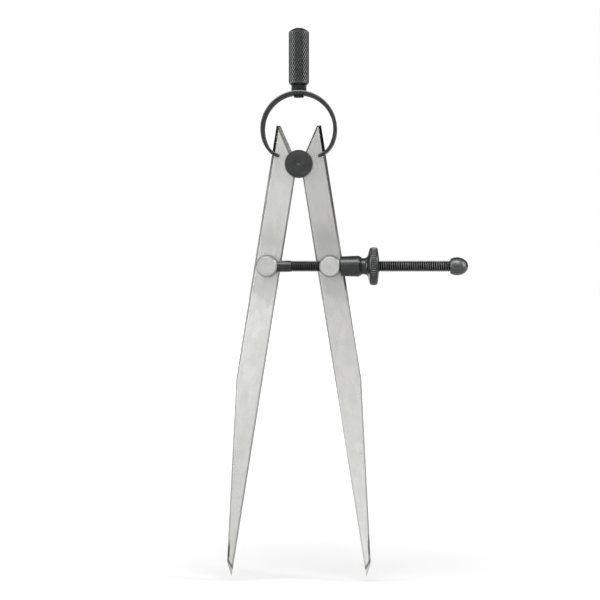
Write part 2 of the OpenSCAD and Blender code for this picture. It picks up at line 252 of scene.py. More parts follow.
def bevelled_edges(tree, tone, height, side, inner_bevel_light, outer_bevel_light, wide_edge_shade):
    """A tone with painted light and shade on the bevels, found where the rounded normal leans, and a painted
    dark line against the walls.
    """
    leaning = split(tree, rounded_normal(tree, wall_line))
    flatness = absolute(tree, leaning["Y"])
    outward = spread(tree, leaning["X"], -0.1 * side, 0.1 * side, 0, 1)
    level = spread(tree, height, tip_z, horn_top_z, 0, 1)
    # Painted light and shade on the bevels, along the bar and set for each leg.
    inner_steel = tone_ramp(tree, level, inner_bevel_light, steel_tint)
    outer_steel = tone_ramp(tree, level, outer_bevel_light, steel_tint)
    bevel_steel = mix_colours(tree, outward, inner_steel, outer_steel)
    widened = multiply(tree, outward, spread(tree, level, 0.7, 0.8, 0, wide_edge_shade))
    on_bevel = spread(tree, flatness, 0.72, add_up(tree, widened, 0.9), 0.9, 0)
    tone = mix_colours(tree, on_bevel, tone, bevel_steel)
    # A painted dark line along the faces' borders against the walls.
    return mix_colours(tree, spread(tree, flatness, 0.3, 0.68, 0.8, 0), tone, edge_shade_tone)


def dark_bevel_band(tree, tone, height, on_bevel, bevel_band):
    """A tone with the dark mark on the outer bevel above the point, faded at both of its heights."""
    low, high, share = bevel_band
    # A darker band on the outer bevel, between two heights above the point.
    from_low = spread(tree, height, tip_z + low, tip_z + low + mm, 0, 1)
    to_high = spread(tree, height, tip_z + high - 1.5 * mm, tip_z + high, share, 0)
    banded = multiply(tree, on_bevel, multiply(tree, from_low, to_high))
    return mix_colours(tree, banded, tone, bevel_band_tone)


def ground_point(tree, tone, place, side, in_front):
    """A tone with the grind across the point: a painted dark line along its edge, which rises outwards, and
    painted shade on the facet below it.
    """
    slope = math.hypot(grind_rise, 1)
    above = past_plane(tree, place, (side * tip_x, 0, grind_z), (-side * grind_rise / slope, 0, 1 / slope))
    # Painted shade on the facet below the grind, and a painted dark line along its edge.
    ground = multiply(tree, in_front, spread(tree, above, -0.2 * mm, 0.2 * mm, 0.25, 0))
    tone = mix_colours(tree, ground, tone, point_facet_shade_tone)
    on_line = spread(tree, absolute(tree, above), 0.2 * mm, 0.5 * mm, 0.85, 0)
    return mix_colours(tree, multiply(tree, in_front, on_line), tone, edge_shade_tone)


def shaded_horn_edge(tree, tone, place, height, side, in_front, horn_shade):
    """A tone with a painted shade along the horn's inner edge, as wide as a broad bevel. The edge leans
    outwards from the fulcrum.
    """
    edge_normal = (side * math.cos(horn_lean), 0, -math.sin(horn_lean))
    inside = past_plane(tree, place, (side * horn_foot_x, 0, horn_foot_z), edge_normal)
    on_horn = multiply(tree, in_front, spread(tree, height, fulcrum_z + 2 * mm, fulcrum_z + 4 * mm, 0, 1))
    # Painted shade along the horn's inner edge, set on the left leg only.
    near_edge = spread(tree, inside, horn_shade_width, horn_shade_width + horn_shade_fade, horn_shade, 0)
    return mix_colours(tree, multiply(tree, on_horn, near_edge), tone, horn_shade_tone)


def polished_bar(name, side, painted_light_tones, inner_bevel_light, outer_bevel_light, wide_edge_shade, outer_wall_shade, horn_shade, bevel_band, thumbed):
    """Bright steel: its tone runs along the bar as painted light and shade, then polishing lines, smudges, a
    darker ring in the corners, and painted light and shade on bevels, walls and edges.

    side is -1 for the left leg and 1 for the right one. painted_light_tones are stops along the bar, from
    0 at the point to 1 at the fulcrum, of painted light and shade. inner_bevel_light and outer_bevel_light
    are the painted light and shade of its bevelled edges, from 0 at the point to 1 at the horn's top.
    wide_edge_shade widens the painted shade on the upper outer edge, and outer_wall_shade is the painted
    shade of the outer wall. horn_shade is how dark the painted shade along the horn's inner edge is.
    bevel_band is the dark band on the outer bevel above the point: its two heights above the point, and
    how dark it is. thumbed is how dark the thumb mark above the post is.
    """
    material, tree, shader = new_material(name)
    place = object_place(tree)
    height = split(tree, place)["Z"]
    upright = add_node(tree, "Mapping", {"Vector": place, "Rotation": (0, side * half_angle, 0)})
    along = upright.outputs["Vector"]
    lines = noise(tree, along, 3200, 2, (1, 1, 0.02))
    speckle = noise(tree, place, 1500, 3)
    clouds = noise(tree, along, 130, 5, (1, 1, 0.5))
    stains = noise(tree, along, 330, 3, (1, 1, 0.6))

    # The tone along the bar is painted light and shade.
    tone = tone_ramp(tree, spread(tree, height, tip_z, fulcrum_z, 0, 1), painted_light_tones, steel_tint)
    tone = smudged_face(tree, tone, place, side, clouds, thumbed)
    tone = mix_colours(tree, spread(tree, lines, 0.45, 0.75, 0, 0.12), tone, line_tone)
    tone = mix_colours(tree, spread(tree, speckle, 0.5, 0.72, 0, 0.16), tone, line_tone)
    tone = mix_colours(tree, spread(tree, stains, 0.4, 0.62, 0, 0.14), tone, smudge_tone)
    from_fulcrum = off_axis(tree, place, (0, 0, fulcrum_z))
    rubs = spread(tree, line_noise(tree, from_fulcrum, 1600), 0.45, 0.7, 0, 1)
    rubbed = multiply(tree, rubs, spread(tree, from_fulcrum, 6 * mm, 11 * mm, 0.35, 0))
    tone = mix_colours(tree, rubbed, tone, rub_tone)

    wear, rounded = worn_edges(tree, leg_edge)
    worn = multiply(tree, wear, spread(tree, clouds, 0.35, 0.6, 0.1, 0.5))
    tone = mix_colours(tree, worn, tone, worn_tone)
    tone = bevelled_edges(tree, tone, height, side, inner_bevel_light, outer_bevel_light, wide_edge_shade)
    normal = face_normal(tree)
    outer = spread(tree, normal["X"], 0.3 * side, 0.6 * side, 0, 0.9)
    in_front = spread(tree, normal["Y"], -0.6, -0.4, 1, 0)
    tone = dark_bevel_band(tree, tone, height, multiply(tree, in_front, outer), bevel_band)
    # Painted shade on the walls: darker than the faces, and darker on the left leg's outer wall than on the
    # right's.
    wall_steel = mix_colours(tree, spread(tree, lines, 0.3, 0.7, 0, 1), dark_wall_tone, light_wall_tone)
    wall_steel = mix_colours(tree, outer, wall_steel, (outer_wall_shade, outer_wall_shade, 0.96 * outer_wall_shade, 1))
    on_wall = spread(tree, absolute(tree, normal["Y"]), 0.15, 0.4, 0.9, 0)
    tone = mix_colours(tree, on_wall, tone, wall_steel)
    tone = ground_point(tree, tone, place, side, in_front)
    tone = shaded_horn_edge(tree, tone, place, height, side, in_front, horn_shade)

    # A thin darker ring in the corners against the post and the fulcrum's flange.
    from_post = off_axis(tree, place, (side * post_x, 0, post_z))
    against_post = spread(tree, from_post, post_radius, post_radius + 0.5 * mm, 0.75, 0)
    against_flange = spread(tree, from_fulcrum, flange_radius, flange_radius + 0.4 * mm, 0.6, 0)
    for corner in (against_post, against_flange):
        ring_dark = multiply(tree, corner, spread(tree, speckle, 0.3, 0.6, 0.6, 1))
        tone = mix_colours(tree, ring_dark, tone, ring_dark_tone)
    cloudy = spread(tree, clouds, 0.3, 0.7, 0.26, 0.36)
    rough = add_up(tree, cloudy, spread(tree, lines, 0.3, 0.7, -0.03, 0.05))
    shader.inputs["Metallic"].default_value = 1
    connect(tree, shader.inputs["Base Color"], tone)
    connect(tree, shader.inputs["Roughness"], rough)
    connect(tree, shader.inputs["Normal"], scratched(tree, lines, 0.1, 0.02 * mm, rounded))
    return material


# Each leg has its own stops of painted light and shade, so the two materials are lit and shaded copies.
left_steel = polished_bar(
    "polished_left_leg", -1,
    painted_light_tones=((0.05, 0.58), (0.3, 0.6), (0.6, 0.73), (0.85, 0.58)),
    inner_bevel_light=((0.1, 0.32), (0.3, 0.27), (0.55, 0.27), (0.74, 0.18), (0.9, 0.18), (0.95, 0.04)),
    outer_bevel_light=((0.1, 0.27), (0.45, 0.28), (0.55, 0.36), (0.86, 0.31), (0.93, 0.1)),
    wide_edge_shade=0, outer_wall_shade=0.14, horn_shade=0.9, bevel_band=(6.5 * mm, 12.5 * mm, 1), thumbed=0.3)
right_steel = polished_bar(
    "polished_right_leg", 1,
    painted_light_tones=((0.05, 0.77), (0.3, 0.655), (0.6, 0.58), (0.85, 0.475)),
    inner_bevel_light=((0.1, 0.5), (0.35, 0.46), (0.5, 0.27), (0.74, 0.18), (0.9, 0.18), (0.95, 0.04)),
    outer_bevel_light=((0.1, 0.27), (0.55, 0.27), (0.75, 0.15), (0.82, 0.03)),
    wide_edge_shade=0.08, outer_wall_shade=0.36, horn_shade=0, bevel_band=(8 * mm, 16 * mm, 0.6), thumbed=0.6)
dress("left_leg", left_steel)
dress("right_leg", right_steel)

# Fulcrum: a headed stud that the legs rock on, and the flange that it is riveted over behind them.
# Both are turned from steel and blackened, so fine rings run round the stud's axis.
black_tone = (0.005, 0.0062, 0.006, 1)
grey_tone = (0.012, 0.014, 0.0135, 1)
bare_tone = (0.17, 0.17, 0.165, 1)
# Near black, for painted shade in grooves and on the bow's inner face.
painted_shade_tone = (0.002, 0.002, 0.002, 1)
black_edge = 0.1 * mm
lathe_fineness = 5200
shade_roughness = 0.55


def lathe_lines(tree, distance):
    """Fine lines left by the lathe, one beside the other along a distance."""
    return line_noise(tree, distance, lathe_fineness)


def blackened(name, lines_from, shine=0.4, rubbed=0.5, rough=0.26, groove_shade=False, bare_and_highlight_from=None,
              shade_from=None):
    """Blackened steel: mottled dark oxide, a fine grain, tool lines, and bare metal on worn edges.

    lines_from takes the tree and the place and gives the lines. shine is the specular level, rubbed is
    how far edges are worn to bare metal, and rough is the middle of the roughness. With groove_shade,
    a piece gets painted shade where its groove attribute is 1: a near-black metal, which mirrors almost
    nothing. bare_and_highlight_from, if there is one, gives the share of a lighter bare-metal tone, for
    worn crests and painted highlights, and shade_from that of painted shade, which is also rougher.
    """
    material, tree, shader = new_material(name)
    place = object_place(tree)
    lines = lines_from(tree, place)
    mottle = noise(tree, place, 420, 4)
    grain = noise(tree, place, 6500, 2)
    wear, rounded = worn_edges(tree, black_edge)
    tone = mix_colours(tree, spread(tree, mottle, 0.35, 0.68, 0, 1), black_tone, grey_tone)
    tone = mix_colours(tree, spread(tree, lines, 0.5, 0.8, 0, 0.3), tone, grey_tone)
    worn = multiply(tree, wear, spread(tree, mottle, 0.4, 0.65, 0.3 * rubbed, rubbed))
    tone = mix_colours(tree, worn, tone, bare_tone)
    # Painted shade in the grooves, and on the handle's neck, through the groove attribute.
    if groove_shade:
        groove = add_node(tree, "Attribute", {}, attribute_name="groove").outputs["Fac"]
        tone = mix_colours(tree, spread(tree, groove, 0.1, 0.6, 0, 0.8), tone, painted_shade_tone)
        connect(tree, shader.inputs["Metallic"], spread(tree, groove, 0.1, 0.6, 0, 0.85))
    if bare_and_highlight_from:
        tone = mix_colours(tree, bare_and_highlight_from(tree, place), tone, bare_tone)
    roughness = spread(tree, grain, 0.3, 0.7, rough - 0.06, rough + 0.06)
    # Painted shade, which is also rougher.
    if shade_from:
        shaded = shade_from(tree, place)
        tone = mix_colours(tree, shaded, tone, painted_shade_tone)
        roughness = add_up(tree, roughness, multiply(tree, shaded, shade_roughness))
    relief = add_up(tree, lines, grain)
    shader.inputs["Specular IOR Level"].default_value = shine
    connect(tree, shader.inputs["Base Color"], tone)
    connect(tree, shader.inputs["Roughness"], roughness)
    connect(tree, shader.inputs["Normal"], scratched(tree, relief, 0.25, 0.015 * mm, rounded))
    return material


def fulcrum_lines(tree, place):
    """Rings round the stud's axis, faint at its centre, where the tool moves slowly."""
    from_axis = off_axis(tree, place, (0, 0, fulcrum_z))
    return multiply(tree, lathe_lines(tree, from_axis), spread(tree, from_axis, 0.3 * mm, 1.6 * mm, 0.1, 1))


fulcrum_black = blackened("blackened_fulcrum", fulcrum_lines, shine=0.46)
dress("fulcrum_stud", fulcrum_black)
dress("fulcrum_rear_flange", fulcrum_black)

# Bow spring: one strip of spring steel rolled into a ring and blackened. Its forked ends hook over
# the legs' outer edges.
bow_radius = 13.15 * mm
bow_z = fulcrum_z + 12.6 * mm
bow_half_width = 3.5 * mm
bow_half_thick = 0.7 * mm
bow_rows = 60
hook_radius = 7.3 * mm
hook_half_thick = 0.6 * mm
hook_start = 28
hook_rows = 16
thinning_lead = 6
thinning_rows = 10
slot_root = 60.0
prong_lap = 3
prong_end = 75.4
prong_half_width = 0.9 * mm
prong_middle = 2.6 * mm
prong_rows = 26
prong_tip_least = 0.002
strip_corner = 0.3 * mm


def arc(centre, radius, first, last, count):
    """Points of an arc in the XZ plane, from the first angle to the last, and its outward directions."""
    angle = np.radians(np.linspace(first, last, count))
    outward = np.stack([np.cos(angle), np.sin(angle)], axis=1)
    return np.array(centre) + radius * outward, outward


def strip_rows(line, outward, half_thick, half_width, middle):
    """A rounded bar carried along a line in the XZ plane.

    At each point of the line, the section is a rectangle with quarter-circle corners: half_thick
    to each side along the outward direction, half_width to each side of the middle along Y.
    """
    quarter = np.linspace(0, np.pi / 2, 5)
    turn = (quarter[None, :] + np.arange(4)[:, None] * np.pi / 2).ravel()
    side_out = np.repeat([1, -1, -1, 1], len(quarter))
    side_wide = np.repeat([1, 1, -1, -1], len(quarter))
    corner = np.minimum(np.minimum(half_thick, half_width), strip_corner)[:, None]
    out = side_out * (half_thick[:, None] - corner) + corner * np.cos(turn)
    wide = side_wide * (half_width[:, None] - corner) + corner * np.sin(turn)
    flat = line[:, None, :] + out[:, :, None] * outward[:, None, :]
    return np.stack([flat[:, :, 0], middle + wide, flat[:, :, 1]], axis=2)


def ring_faces(rows, columns, first):
    """Faces over a grid of points, numbered from first: a quad for each cell, with the columns joined
    into rings, and a fan of triangles at each end to the two pole points that follow the grid."""
    point = first + np.arange(rows * columns).reshape(rows, columns)
    beside = np.roll(point, -1, axis=1)
    quads = np.stack([point[:-1], beside[:-1], beside[1:], point[1:]], axis=2).reshape(-1, 4)
    low_pole = np.full(columns, first + rows * columns)
    low = np.stack([low_pole, beside[0], point[0]], axis=1)
    high = np.stack([low_pole + 1, point[-1], beside[-1]], axis=1)
    return quads.tolist() + low.tolist() + high.tolist()


def skin(name, shells, sharp=40, cuts=None):
    """One mesh of closed shells. A shell is a grid of points, rows along it and columns round it,
    and each end closes on the middle of its last ring. A shell that comes out inside out is turned.
    Edges sharper than an angle in degrees stay sharp. cuts, if there are any, are grids of groove
    depth that go into the groove attribute."""
    points, faces, grooves = [], [], []
    first = 0
    for number, grid in enumerate(shells):
        across = np.roll(grid, -1, axis=1) - grid
        outward = np.cross(across[:-1], np.diff(grid, axis=0))
        cut = None if cuts is None else cuts[number]
        if (outward * (grid[:-1] - grid.mean(axis=1, keepdims=True)[:-1])).sum() < 0:
            grid = grid[:, ::-1]
            cut = None if cut is None else cut[:, ::-1]
        rows, columns = grid.shape[:2]
        points.append(np.concatenate([grid.reshape(-1, 3), grid[[0, -1]].mean(axis=1)]))
        faces += ring_faces(rows, columns, first)
        first += rows * columns + 2
        if cut is not None:
            grooves.append(np.concatenate([cut.ravel(), [0, 0]]))
    mesh = bpy.data.meshes.new(name)
    mesh.from_pydata(np.concatenate(points).tolist(), [], faces)
    if grooves:
        mesh.attributes.new("groove", "FLOAT", "POINT").data.foreach_set("value", np.concatenate(grooves))
    mesh.shade_smooth()
    mesh.set_sharp_from_angle(angle=math.radians(sharp))
    piece = bpy.data.objects.new(name, mesh)
    bpy.context.scene.collection.objects.link(piece)
    return piece


def bow_half(side):
    """Half of the bow: the rolled strip down to the slot's root, and two prongs with rounded tips.

    The strip's line is the ring's arc from its top, then the hook's arc, which turns inwards with a
    smaller radius, and the strip thins from one to the other. The prongs go on along the hook's arc
    from a little before the slot's root, and each narrows to its tip as a half circle does.
    side is 1 for the left half, and -1 mirrors it to the right.
    """
    rolled, rolled_out = arc((0, bow_z), bow_radius, 90, 180 + hook_start, bow_rows)
    hook_centre = rolled[-1] - hook_radius * rolled_out[-1]
    hooked, hooked_out = arc(hook_centre, hook_radius, 180 + hook_start, 180 + slot_root, hook_rows)
    line = np.concatenate([rolled, hooked[1:]])
    outward = np.concatenate([rolled_out, hooked_out[1:]])
    thinner = np.clip((np.arange(len(line)) - bow_rows + thinning_lead) / thinning_rows, 0, 1)
    thick = bow_half_thick + thinner * (hook_half_thick - bow_half_thick)
    shells = [strip_rows(line, outward, thick, np.full(len(line), bow_half_width), 0)]
    prong_start = slot_root - prong_lap
    prong, prong_out = arc(hook_centre, hook_radius, 180 + prong_start, 180 + prong_end, prong_rows)
    left = np.linspace(1, 0, prong_rows) * hook_radius * math.radians(prong_end - prong_start)
    end = np.clip(left / prong_half_width, 0, 1)
    rounding = np.sqrt(np.clip(1 - (1 - end) ** 2, prong_tip_least, 1))
    for front in (-1, 1):
        shells.append(strip_rows(prong, prong_out, hook_half_thick * np.sqrt(rounding),
                                 prong_half_width * rounding, front * prong_middle))
    return [shell * (side, 1, 1) for shell in shells]


def bow_lines(tree, place):
    """Fine lines across the strip, drawn out along Y."""
    return noise(tree, place, 3000, 2, (1, 0.03, 1))


def bow_rim_highlight(tree, place):
    """Share of lighter bare-metal tone on the bow's two outer rims, growing towards its top: a painted
    highlight.
    """
    parts = split(tree, place)
    from_centre = off_axis(tree, place, (0, 0, bow_z))
    outside = spread(tree, from_centre, bow_radius + 0.25 * mm, bow_radius + 0.55 * mm, 0, 1)
    aside = absolute(tree, parts["Y"])
    rim = spread(tree, aside, bow_half_width - 0.35 * mm, bow_half_width - 0.15 * mm, 0, 1)
    upper = spread(tree, parts["Z"], bow_z + 2 * mm, bow_z + 12 * mm, 0.1, 0.75)
    return multiply(tree, multiply(tree, outside, rim), upper)


def bow_inner_shade(tree, place):
    """Share of painted shade on the inner face of the bow's upper part."""
    upper = spread(tree, split(tree, place)["Z"], bow_z - 3 * mm, bow_z + 1 * mm, 0, 1)
    from_centre = off_axis(tree, place, (0, 0, bow_z))
    inner = spread(tree, from_centre, bow_radius - 0.66 * mm, bow_radius - 0.5 * mm, 0.9, 0)
    return multiply(tree, upper, inner)


# The bow's rims get a painted highlight towards its top, and the inner face of its upper part a painted
# shade.
bow_black = blackened("blackened_bow", bow_lines, rubbed=0.8, bare_and_highlight_from=bow_rim_highlight, shade_from=bow_inner_shade)
for name, side, leg in (("bow_spring_left", 1, "left_leg"), ("bow_spring_right", -1, "right_leg")):
    half = skin(name, bow_half(side))
    half.data.materials.append(bow_black)
    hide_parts("bow_spring")
    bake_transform(half)

# Handle: a turned and diamond-knurled grip with a domed top. Its neck is hollowed to sit on the bow, and
# its tenon goes through the bow and is riveted inside it. Blackened, with a painted highlight on the
# knurl's lands at the grip's two sides, and painted shade in the grooves and on the neck under the grip.
grip_radius = 3.68 * mm
grip_low = -9.1925 * mm
grip_rows_count = 190
dome_radius = 5 * mm
dome_rows = 24
handle_top = 10.808 * mm
bevel_low = grip_low - 0.8 * mm
neck_radius = 2.75 * mm
tenon_radius = 1.85 * mm
bow_outer = bow_radius + bow_half_thick
bow_top = bow_z + bow_outer
tenon_low = bow_top - 2 * bow_half_thick - 1.1 * mm
knurl_starts = 24
knurl_columns = 14
knurl_rise = 1.56 * mm
knurl_depth = 0.17 * mm
knurl_land = 0.62
knurl_fade = 0.5 * mm
neck_shade = 0.4


def ridge(phase):
    """A wave of period 1 that is 1 on its ridge, at whole numbers, and falls straight to 0 halfway."""
    return np.abs(2 * (phase % 1) - 1)


def handle_rows():
    """The handle turned round Z: radius and height along a profile from the tenon's end up to the dome.

    On the grip, two families of V grooves wind up it, one each way, and the deeper one at each point
    is cut from the radius. The neck's foot follows the bow: its height is that of the bow's outer
    circle at each point's X. Returns the points, and where shade is painted: in the grooves and on the neck.
    """
    turn = np.linspace(0, 1, knurl_starts * knurl_columns, endpoint=False)[None, :]
    grip_high = handle_top - dome_radius + math.sqrt(dome_radius ** 2 - grip_radius ** 2)
    grip = np.linspace(grip_low, grip_high, grip_rows_count)
    tilt = np.linspace(math.asin(grip_radius / dome_radius), 0.02, dome_rows)[1:]
    foot = bow_top - 0.05 * mm
    low_profile = np.array([
        [tenon_radius * 0.7, tenon_low],
        [tenon_radius * 0.86, tenon_low + 0.06 * mm],
        [tenon_radius, tenon_low + 0.3 * mm],
        [tenon_radius, foot],
        [neck_radius - 0.05 * mm, foot],
        [neck_radius, foot + 0.1 * mm],
        [neck_radius, bevel_low - 0.12 * mm],
        [neck_radius + 0.12 * mm, bevel_low],
        [grip_radius - 0.75 * mm, bevel_low],
        [grip_radius - 0.1 * mm, grip_low - 0.1 * mm],
    ])
    dome = handle_top - dome_radius + dome_radius * np.cos(tilt)
    radius = np.concatenate([low_profile[:, 0], np.full(len(grip), grip_radius), dome_radius * np.sin(tilt)])
    height = np.concatenate([low_profile[:, 1], grip, dome])
    radius, height = radius[:, None], height[:, None]
    climb = height / knurl_rise
    groove = np.maximum(1 - ridge(turn * knurl_starts + climb), 1 - ridge(turn * knurl_starts - climb))
    inside = np.clip(np.minimum(height - grip_low, grip_high - height) / knurl_fade, 0, 1)
    cut = np.clip((groove - knurl_land) / (1 - knurl_land), 0, 1) * inside
    reach = radius - knurl_depth * cut
    x, y = reach * np.cos(2 * np.pi * turn), reach * np.sin(2 * np.pi * turn)
    sag = bow_outer - np.sqrt(bow_outer ** 2 - x ** 2)
    on_foot = np.isclose(height, foot) | np.isclose(height, foot + 0.1 * mm)
    z = height - np.where(on_foot, sag, 0)
    # Painted shade: in the knurl's grooves, and on the neck under the grip.
    shade_share = np.where(height < bevel_low - 0.05 * mm, neck_shade, cut)
    return np.stack([x, y, np.broadcast_to(z, x.shape)], axis=2), shade_share


def handle_lines(tree, place):
    """A fine grain that runs no way in particular."""
    return noise(tree, place, 2500, 2)


def grip_side_highlight(tree, place):
    """Share of lighter bare-metal tone on the knurl's lands at the grip's two sides: a painted highlight."""
    from_axis = off_axis(tree, place, (0, 0, 0), (1, 1, 0))
    lands = spread(tree, from_axis, grip_radius - 0.08 * mm, grip_radius - 0.02 * mm, 0, 1)
    aside = absolute(tree, split(tree, place)["X"])
    rising = spread(tree, aside, 0.35 * grip_radius, 0.75 * grip_radius, 0, 0.38)
    fading = spread(tree, aside, 0.82 * grip_radius, 0.96 * grip_radius, 1, 0.25)
    return multiply(tree, lands, multiply(tree, rising, fading))


grip_rows, grip_shade = handle_rows()
handle = skin("knurled_handle", [grip_rows], 50, [grip_shade])
# The grip's two sides carry a painted highlight on the knurl's lands.
handle.data.materials.append(blackened("blackened_handle", handle_lines, shine=0.45, rubbed=0.08,
                                       rough=0.36, groove_shade=True, bare_and_highlight_from=grip_side_highlight))
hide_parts("handle")
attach(handle, "head")

# Posts: two bright steel posts, turned and faced on the lathe, that swivel in the legs. Each is
# riveted over a washer behind its leg, and a cross pin locks the screw in the left one.
clean_post_tone = (0.55, 0.55, 0.524, 1)
smudged_post_tone = (0.45, 0.45, 0.43, 1)
post_edge_tone = (0.45, 0.45, 0.435, 1)
post_ring_tone = (0.4, 0.4, 0.38, 1)
post_bevel_shade_tone = (0.26, 0.26, 0.25, 1)
post_side_shade_tone = (0.2, 0.2, 0.19, 1)


def turned_bright(name, centre):
    """Bright steel turned about an axis on Y: fine rings, smudges, duller edges, and painted shade on the
    bevels and sides.
    """
    material, tree, shader = new_material(name)
    place = object_place(tree)
    rings = lathe_lines(tree, off_axis(tree, place, centre))
    smudges = noise(tree, place, 260, 4)
    wear, rounded = worn_edges(tree, leg_edge)
    tone = mix_colours(tree, spread(tree, smudges, 0.3, 0.65, 0, 1), smudged_post_tone, clean_post_tone)
    tone = mix_colours(tree, spread(tree, rings, 0.45, 0.8, 0, 0.25), tone, post_ring_tone)
    tone = mix_colours(tree, wear, tone, post_edge_tone)
    # Painted shade on the bevels and the turned sides, found by how far the face turns from Y.
    squareness = absolute(tree, face_normal(tree)["Y"])
    off_side = spread(tree, squareness, 0.2, 0.5, 0, 1)
    on_bevel = multiply(tree, off_side, spread(tree, squareness, 0.85, 0.95, 0.85, 0))
    tone = mix_colours(tree, on_bevel, tone, post_bevel_shade_tone)
    tone = mix_colours(tree, spread(tree, squareness, 0.1, 0.3, 1, 0), tone, post_side_shade_tone)
    shader.inputs["Metallic"].default_value = 1
    connect(tree, shader.inputs["Base Color"], tone)
    connect(tree, shader.inputs["Roughness"], spread(tree, smudges, 0.3, 0.7, 0.34, 0.24))
    connect(tree, shader.inputs["Normal"], scratched(tree, rings, 0.15, 0.015 * mm, rounded))
    return material


left_bright = turned_bright("turned_anchor_post", (-post_x, 0, post_z))
for part in ("anchor_post", "anchor_post_washer", "anchor_pin"):
    dress(part, left_bright)
right_bright = turned_bright("turned_guide_post", (post_x, 0, post_z))
for part in ("guide_post", "guide_post_washer"):
    dress(part, right_bright)

# Adjusting screw: a rod with a plain shank in the anchor post and a rolled thread along the rest,
# blackened, with painted shade in the thread's groove, and the crests rubbed by the nut and lightened
# further as a painted highlight.
screw_y = joint_place["nut_spin"][1]
screw_radius = 2.05 * mm
screw_start = -post_x - 2.58 * mm
screw_end = -post_x + 69.98 * mm
thread_start = -post_x + 8.3 * mm
thread_pitch = 0.794 * mm
thread_depth = 0.42 * mm
thread_columns = 40
rows_per_pitch = 10
shank_rows = 14


def along_x(along, radius, turn):
    """Points round the screw's line: a distance along X and a radius at each turn, right-handed about +X."""
    y = screw_y + radius * np.cos(2 * np.pi * turn)
    z = post_z + radius * np.sin(2 * np.pi * turn)
    return np.stack([np.broadcast_to(along, y.shape), y, z], axis=2)


def screw_rows():
    """The screw's radius less the thread: a V groove that advances one pitch for each turn.

    The groove's depth follows the distance to the nearest crest, with narrow flats on crest and
    root, and grows from nothing over the first pitch. Returns the points, and the depth as a share.
    """
    turn = np.linspace(0, 1, thread_columns, endpoint=False)[None, :]
    steps = int(round((screw_end - thread_start) / thread_pitch * rows_per_pitch))
    along = np.concatenate([np.linspace(screw_start, thread_start, shank_rows)[:-1],
                            np.linspace(thread_start, screw_end, steps)])[:, None]
    far = 1 - ridge((along - thread_start) / thread_pitch - turn)
    begun = np.clip((along - thread_start) / thread_pitch, 0, 1)
    cut = np.clip(1.4 * far - 0.25, 0, 1) * begun
    return along_x(along, screw_radius - thread_depth * cut, turn), cut


def bar_lines(tree, place):
    """Lathe lines round the screw's line, one beside the other along X."""
    return lathe_lines(tree, split(tree, place)["X"])


def from_screw_line(tree, place):
    """Distance from the screw's line."""
    return off_axis(tree, place, (0, screw_y, post_z), (0, 1, 1))


def thread_crest_wear_and_highlight(tree, place):
    """Share of bare metal on the thread's crests, worn and lightened as a painted highlight: patchy, and
    growing from the middle to the nut.
    """
    along = split(tree, place)["X"]
    threaded = spread(tree, along, thread_start, thread_start + thread_pitch, 0, 1)
    towards_nut = spread(tree, along, 0, 2 * post_x, 0.06, 0.45)
    patches = spread(tree, noise(tree, place, 500, 3), 0.4, 0.6, 0.6, 1.2)
    patchy = multiply(tree, multiply(tree, threaded, towards_nut), patches)
    from_line = from_screw_line(tree, place)
    crests = spread(tree, from_line, screw_radius - 0.1 * mm, screw_radius - 0.02 * mm, 0, 1)
    return multiply(tree, patchy, crests)


thread_rows, thread_cut = screw_rows()
screw = skin("threaded_screw", [thread_rows], 35, [thread_cut])
screw.data.materials.append(blackened("blackened_screw", bar_lines, shine=0.34, rubbed=0.1, groove_shade=True,
                                       bare_and_highlight_from=thread_crest_wear_and_highlight))
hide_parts("adjusting_screw")
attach(screw, "screw")

# Sleeve and nut: a flared sleeve that bears on the guide post, and the nut with a split nose inside
# it and a knurled disc to turn it by. Both are turned from bar and blackened.
rim_radius = 6.85 * mm


def rim_crest_wear_and_highlight(tree, place):
    """Share of bare metal on the crests of the nut's rim, worn and lightened as a painted highlight."""
    from_line = from_screw_line(tree, place)
    return spread(tree, from_line, rim_radius - 0.16 * mm, rim_radius - 0.04 * mm, 0, 0.22)


dress("thrust_sleeve", blackened("blackened_sleeve", bar_lines))
# The nut's rim crests are worn and lightened as a painted highlight.
dress("adjusting_nut", blackened("blackened_nut", bar_lines, rubbed=0.25, bare_and_highlight_from=rim_crest_wear_and_highlight))

# End knob: an acorn-shaped stop for the nut, turned from bar and blackened.
# It is pressed on the screw's end.
knob_start = -post_x + 66 * mm
knob_radius = 3.25 * mm
knob_belly = 2.4 * mm
knob_reach = 4 * mm
knob_columns = 72
knob_rows_count = 48


def knob_rows():
    """Part of an ellipse turned round the screw's line, from its flat end to its tip."""
    turn = np.linspace(0, 1, knob_columns, endpoint=False)[None, :]
    lean = np.linspace(-math.asin(knob_belly / knob_reach), math.pi / 2 - 0.01, knob_rows_count)[:, None]
    along = knob_start + knob_belly + knob_reach * np.sin(lean)
    radius = knob_radius * np.cos(lean) * np.ones_like(turn)
    return along_x(along, radius, turn)


knob = skin("acorn_knob", [knob_rows()])
knob.data.materials.append(blackened("blackened_knob", bar_lines, shine=0.75, rough=0.36))
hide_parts("screw_end_knob")
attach(knob, "screw")

# Stage: a plain white floor, as low as the points reach when the legs close. To the camera and in
# reflections it has a glow of its own, which grows away from the lit middle, so that it stays white
# all over, apart from the divider's shadow.
floor_z = fulcrum_z - leg_length - 0.1 * mm
floor_size = 4.0
floor_tone = (0.46, 0.46, 0.46, 1)
white = (1, 1, 1, 1)
lit_middle = (0, -0.3, 0)
lit_radius = 0.25
dim_radius = 1.1
corner_signs = np.array([[-1, -1], [1, -1], [1, 1], [-1, 1]])
corners = [(x * floor_size, y * floor_size, floor_z) for x, y in corner_signs]
floor_mesh = bpy.data.meshes.new("floor")
floor_mesh.from_pydata(corners, [], [(0, 1, 2, 3)])
floor = bpy.data.objects.new("floor", floor_mesh)
bpy.context.scene.collection.objects.link(floor)

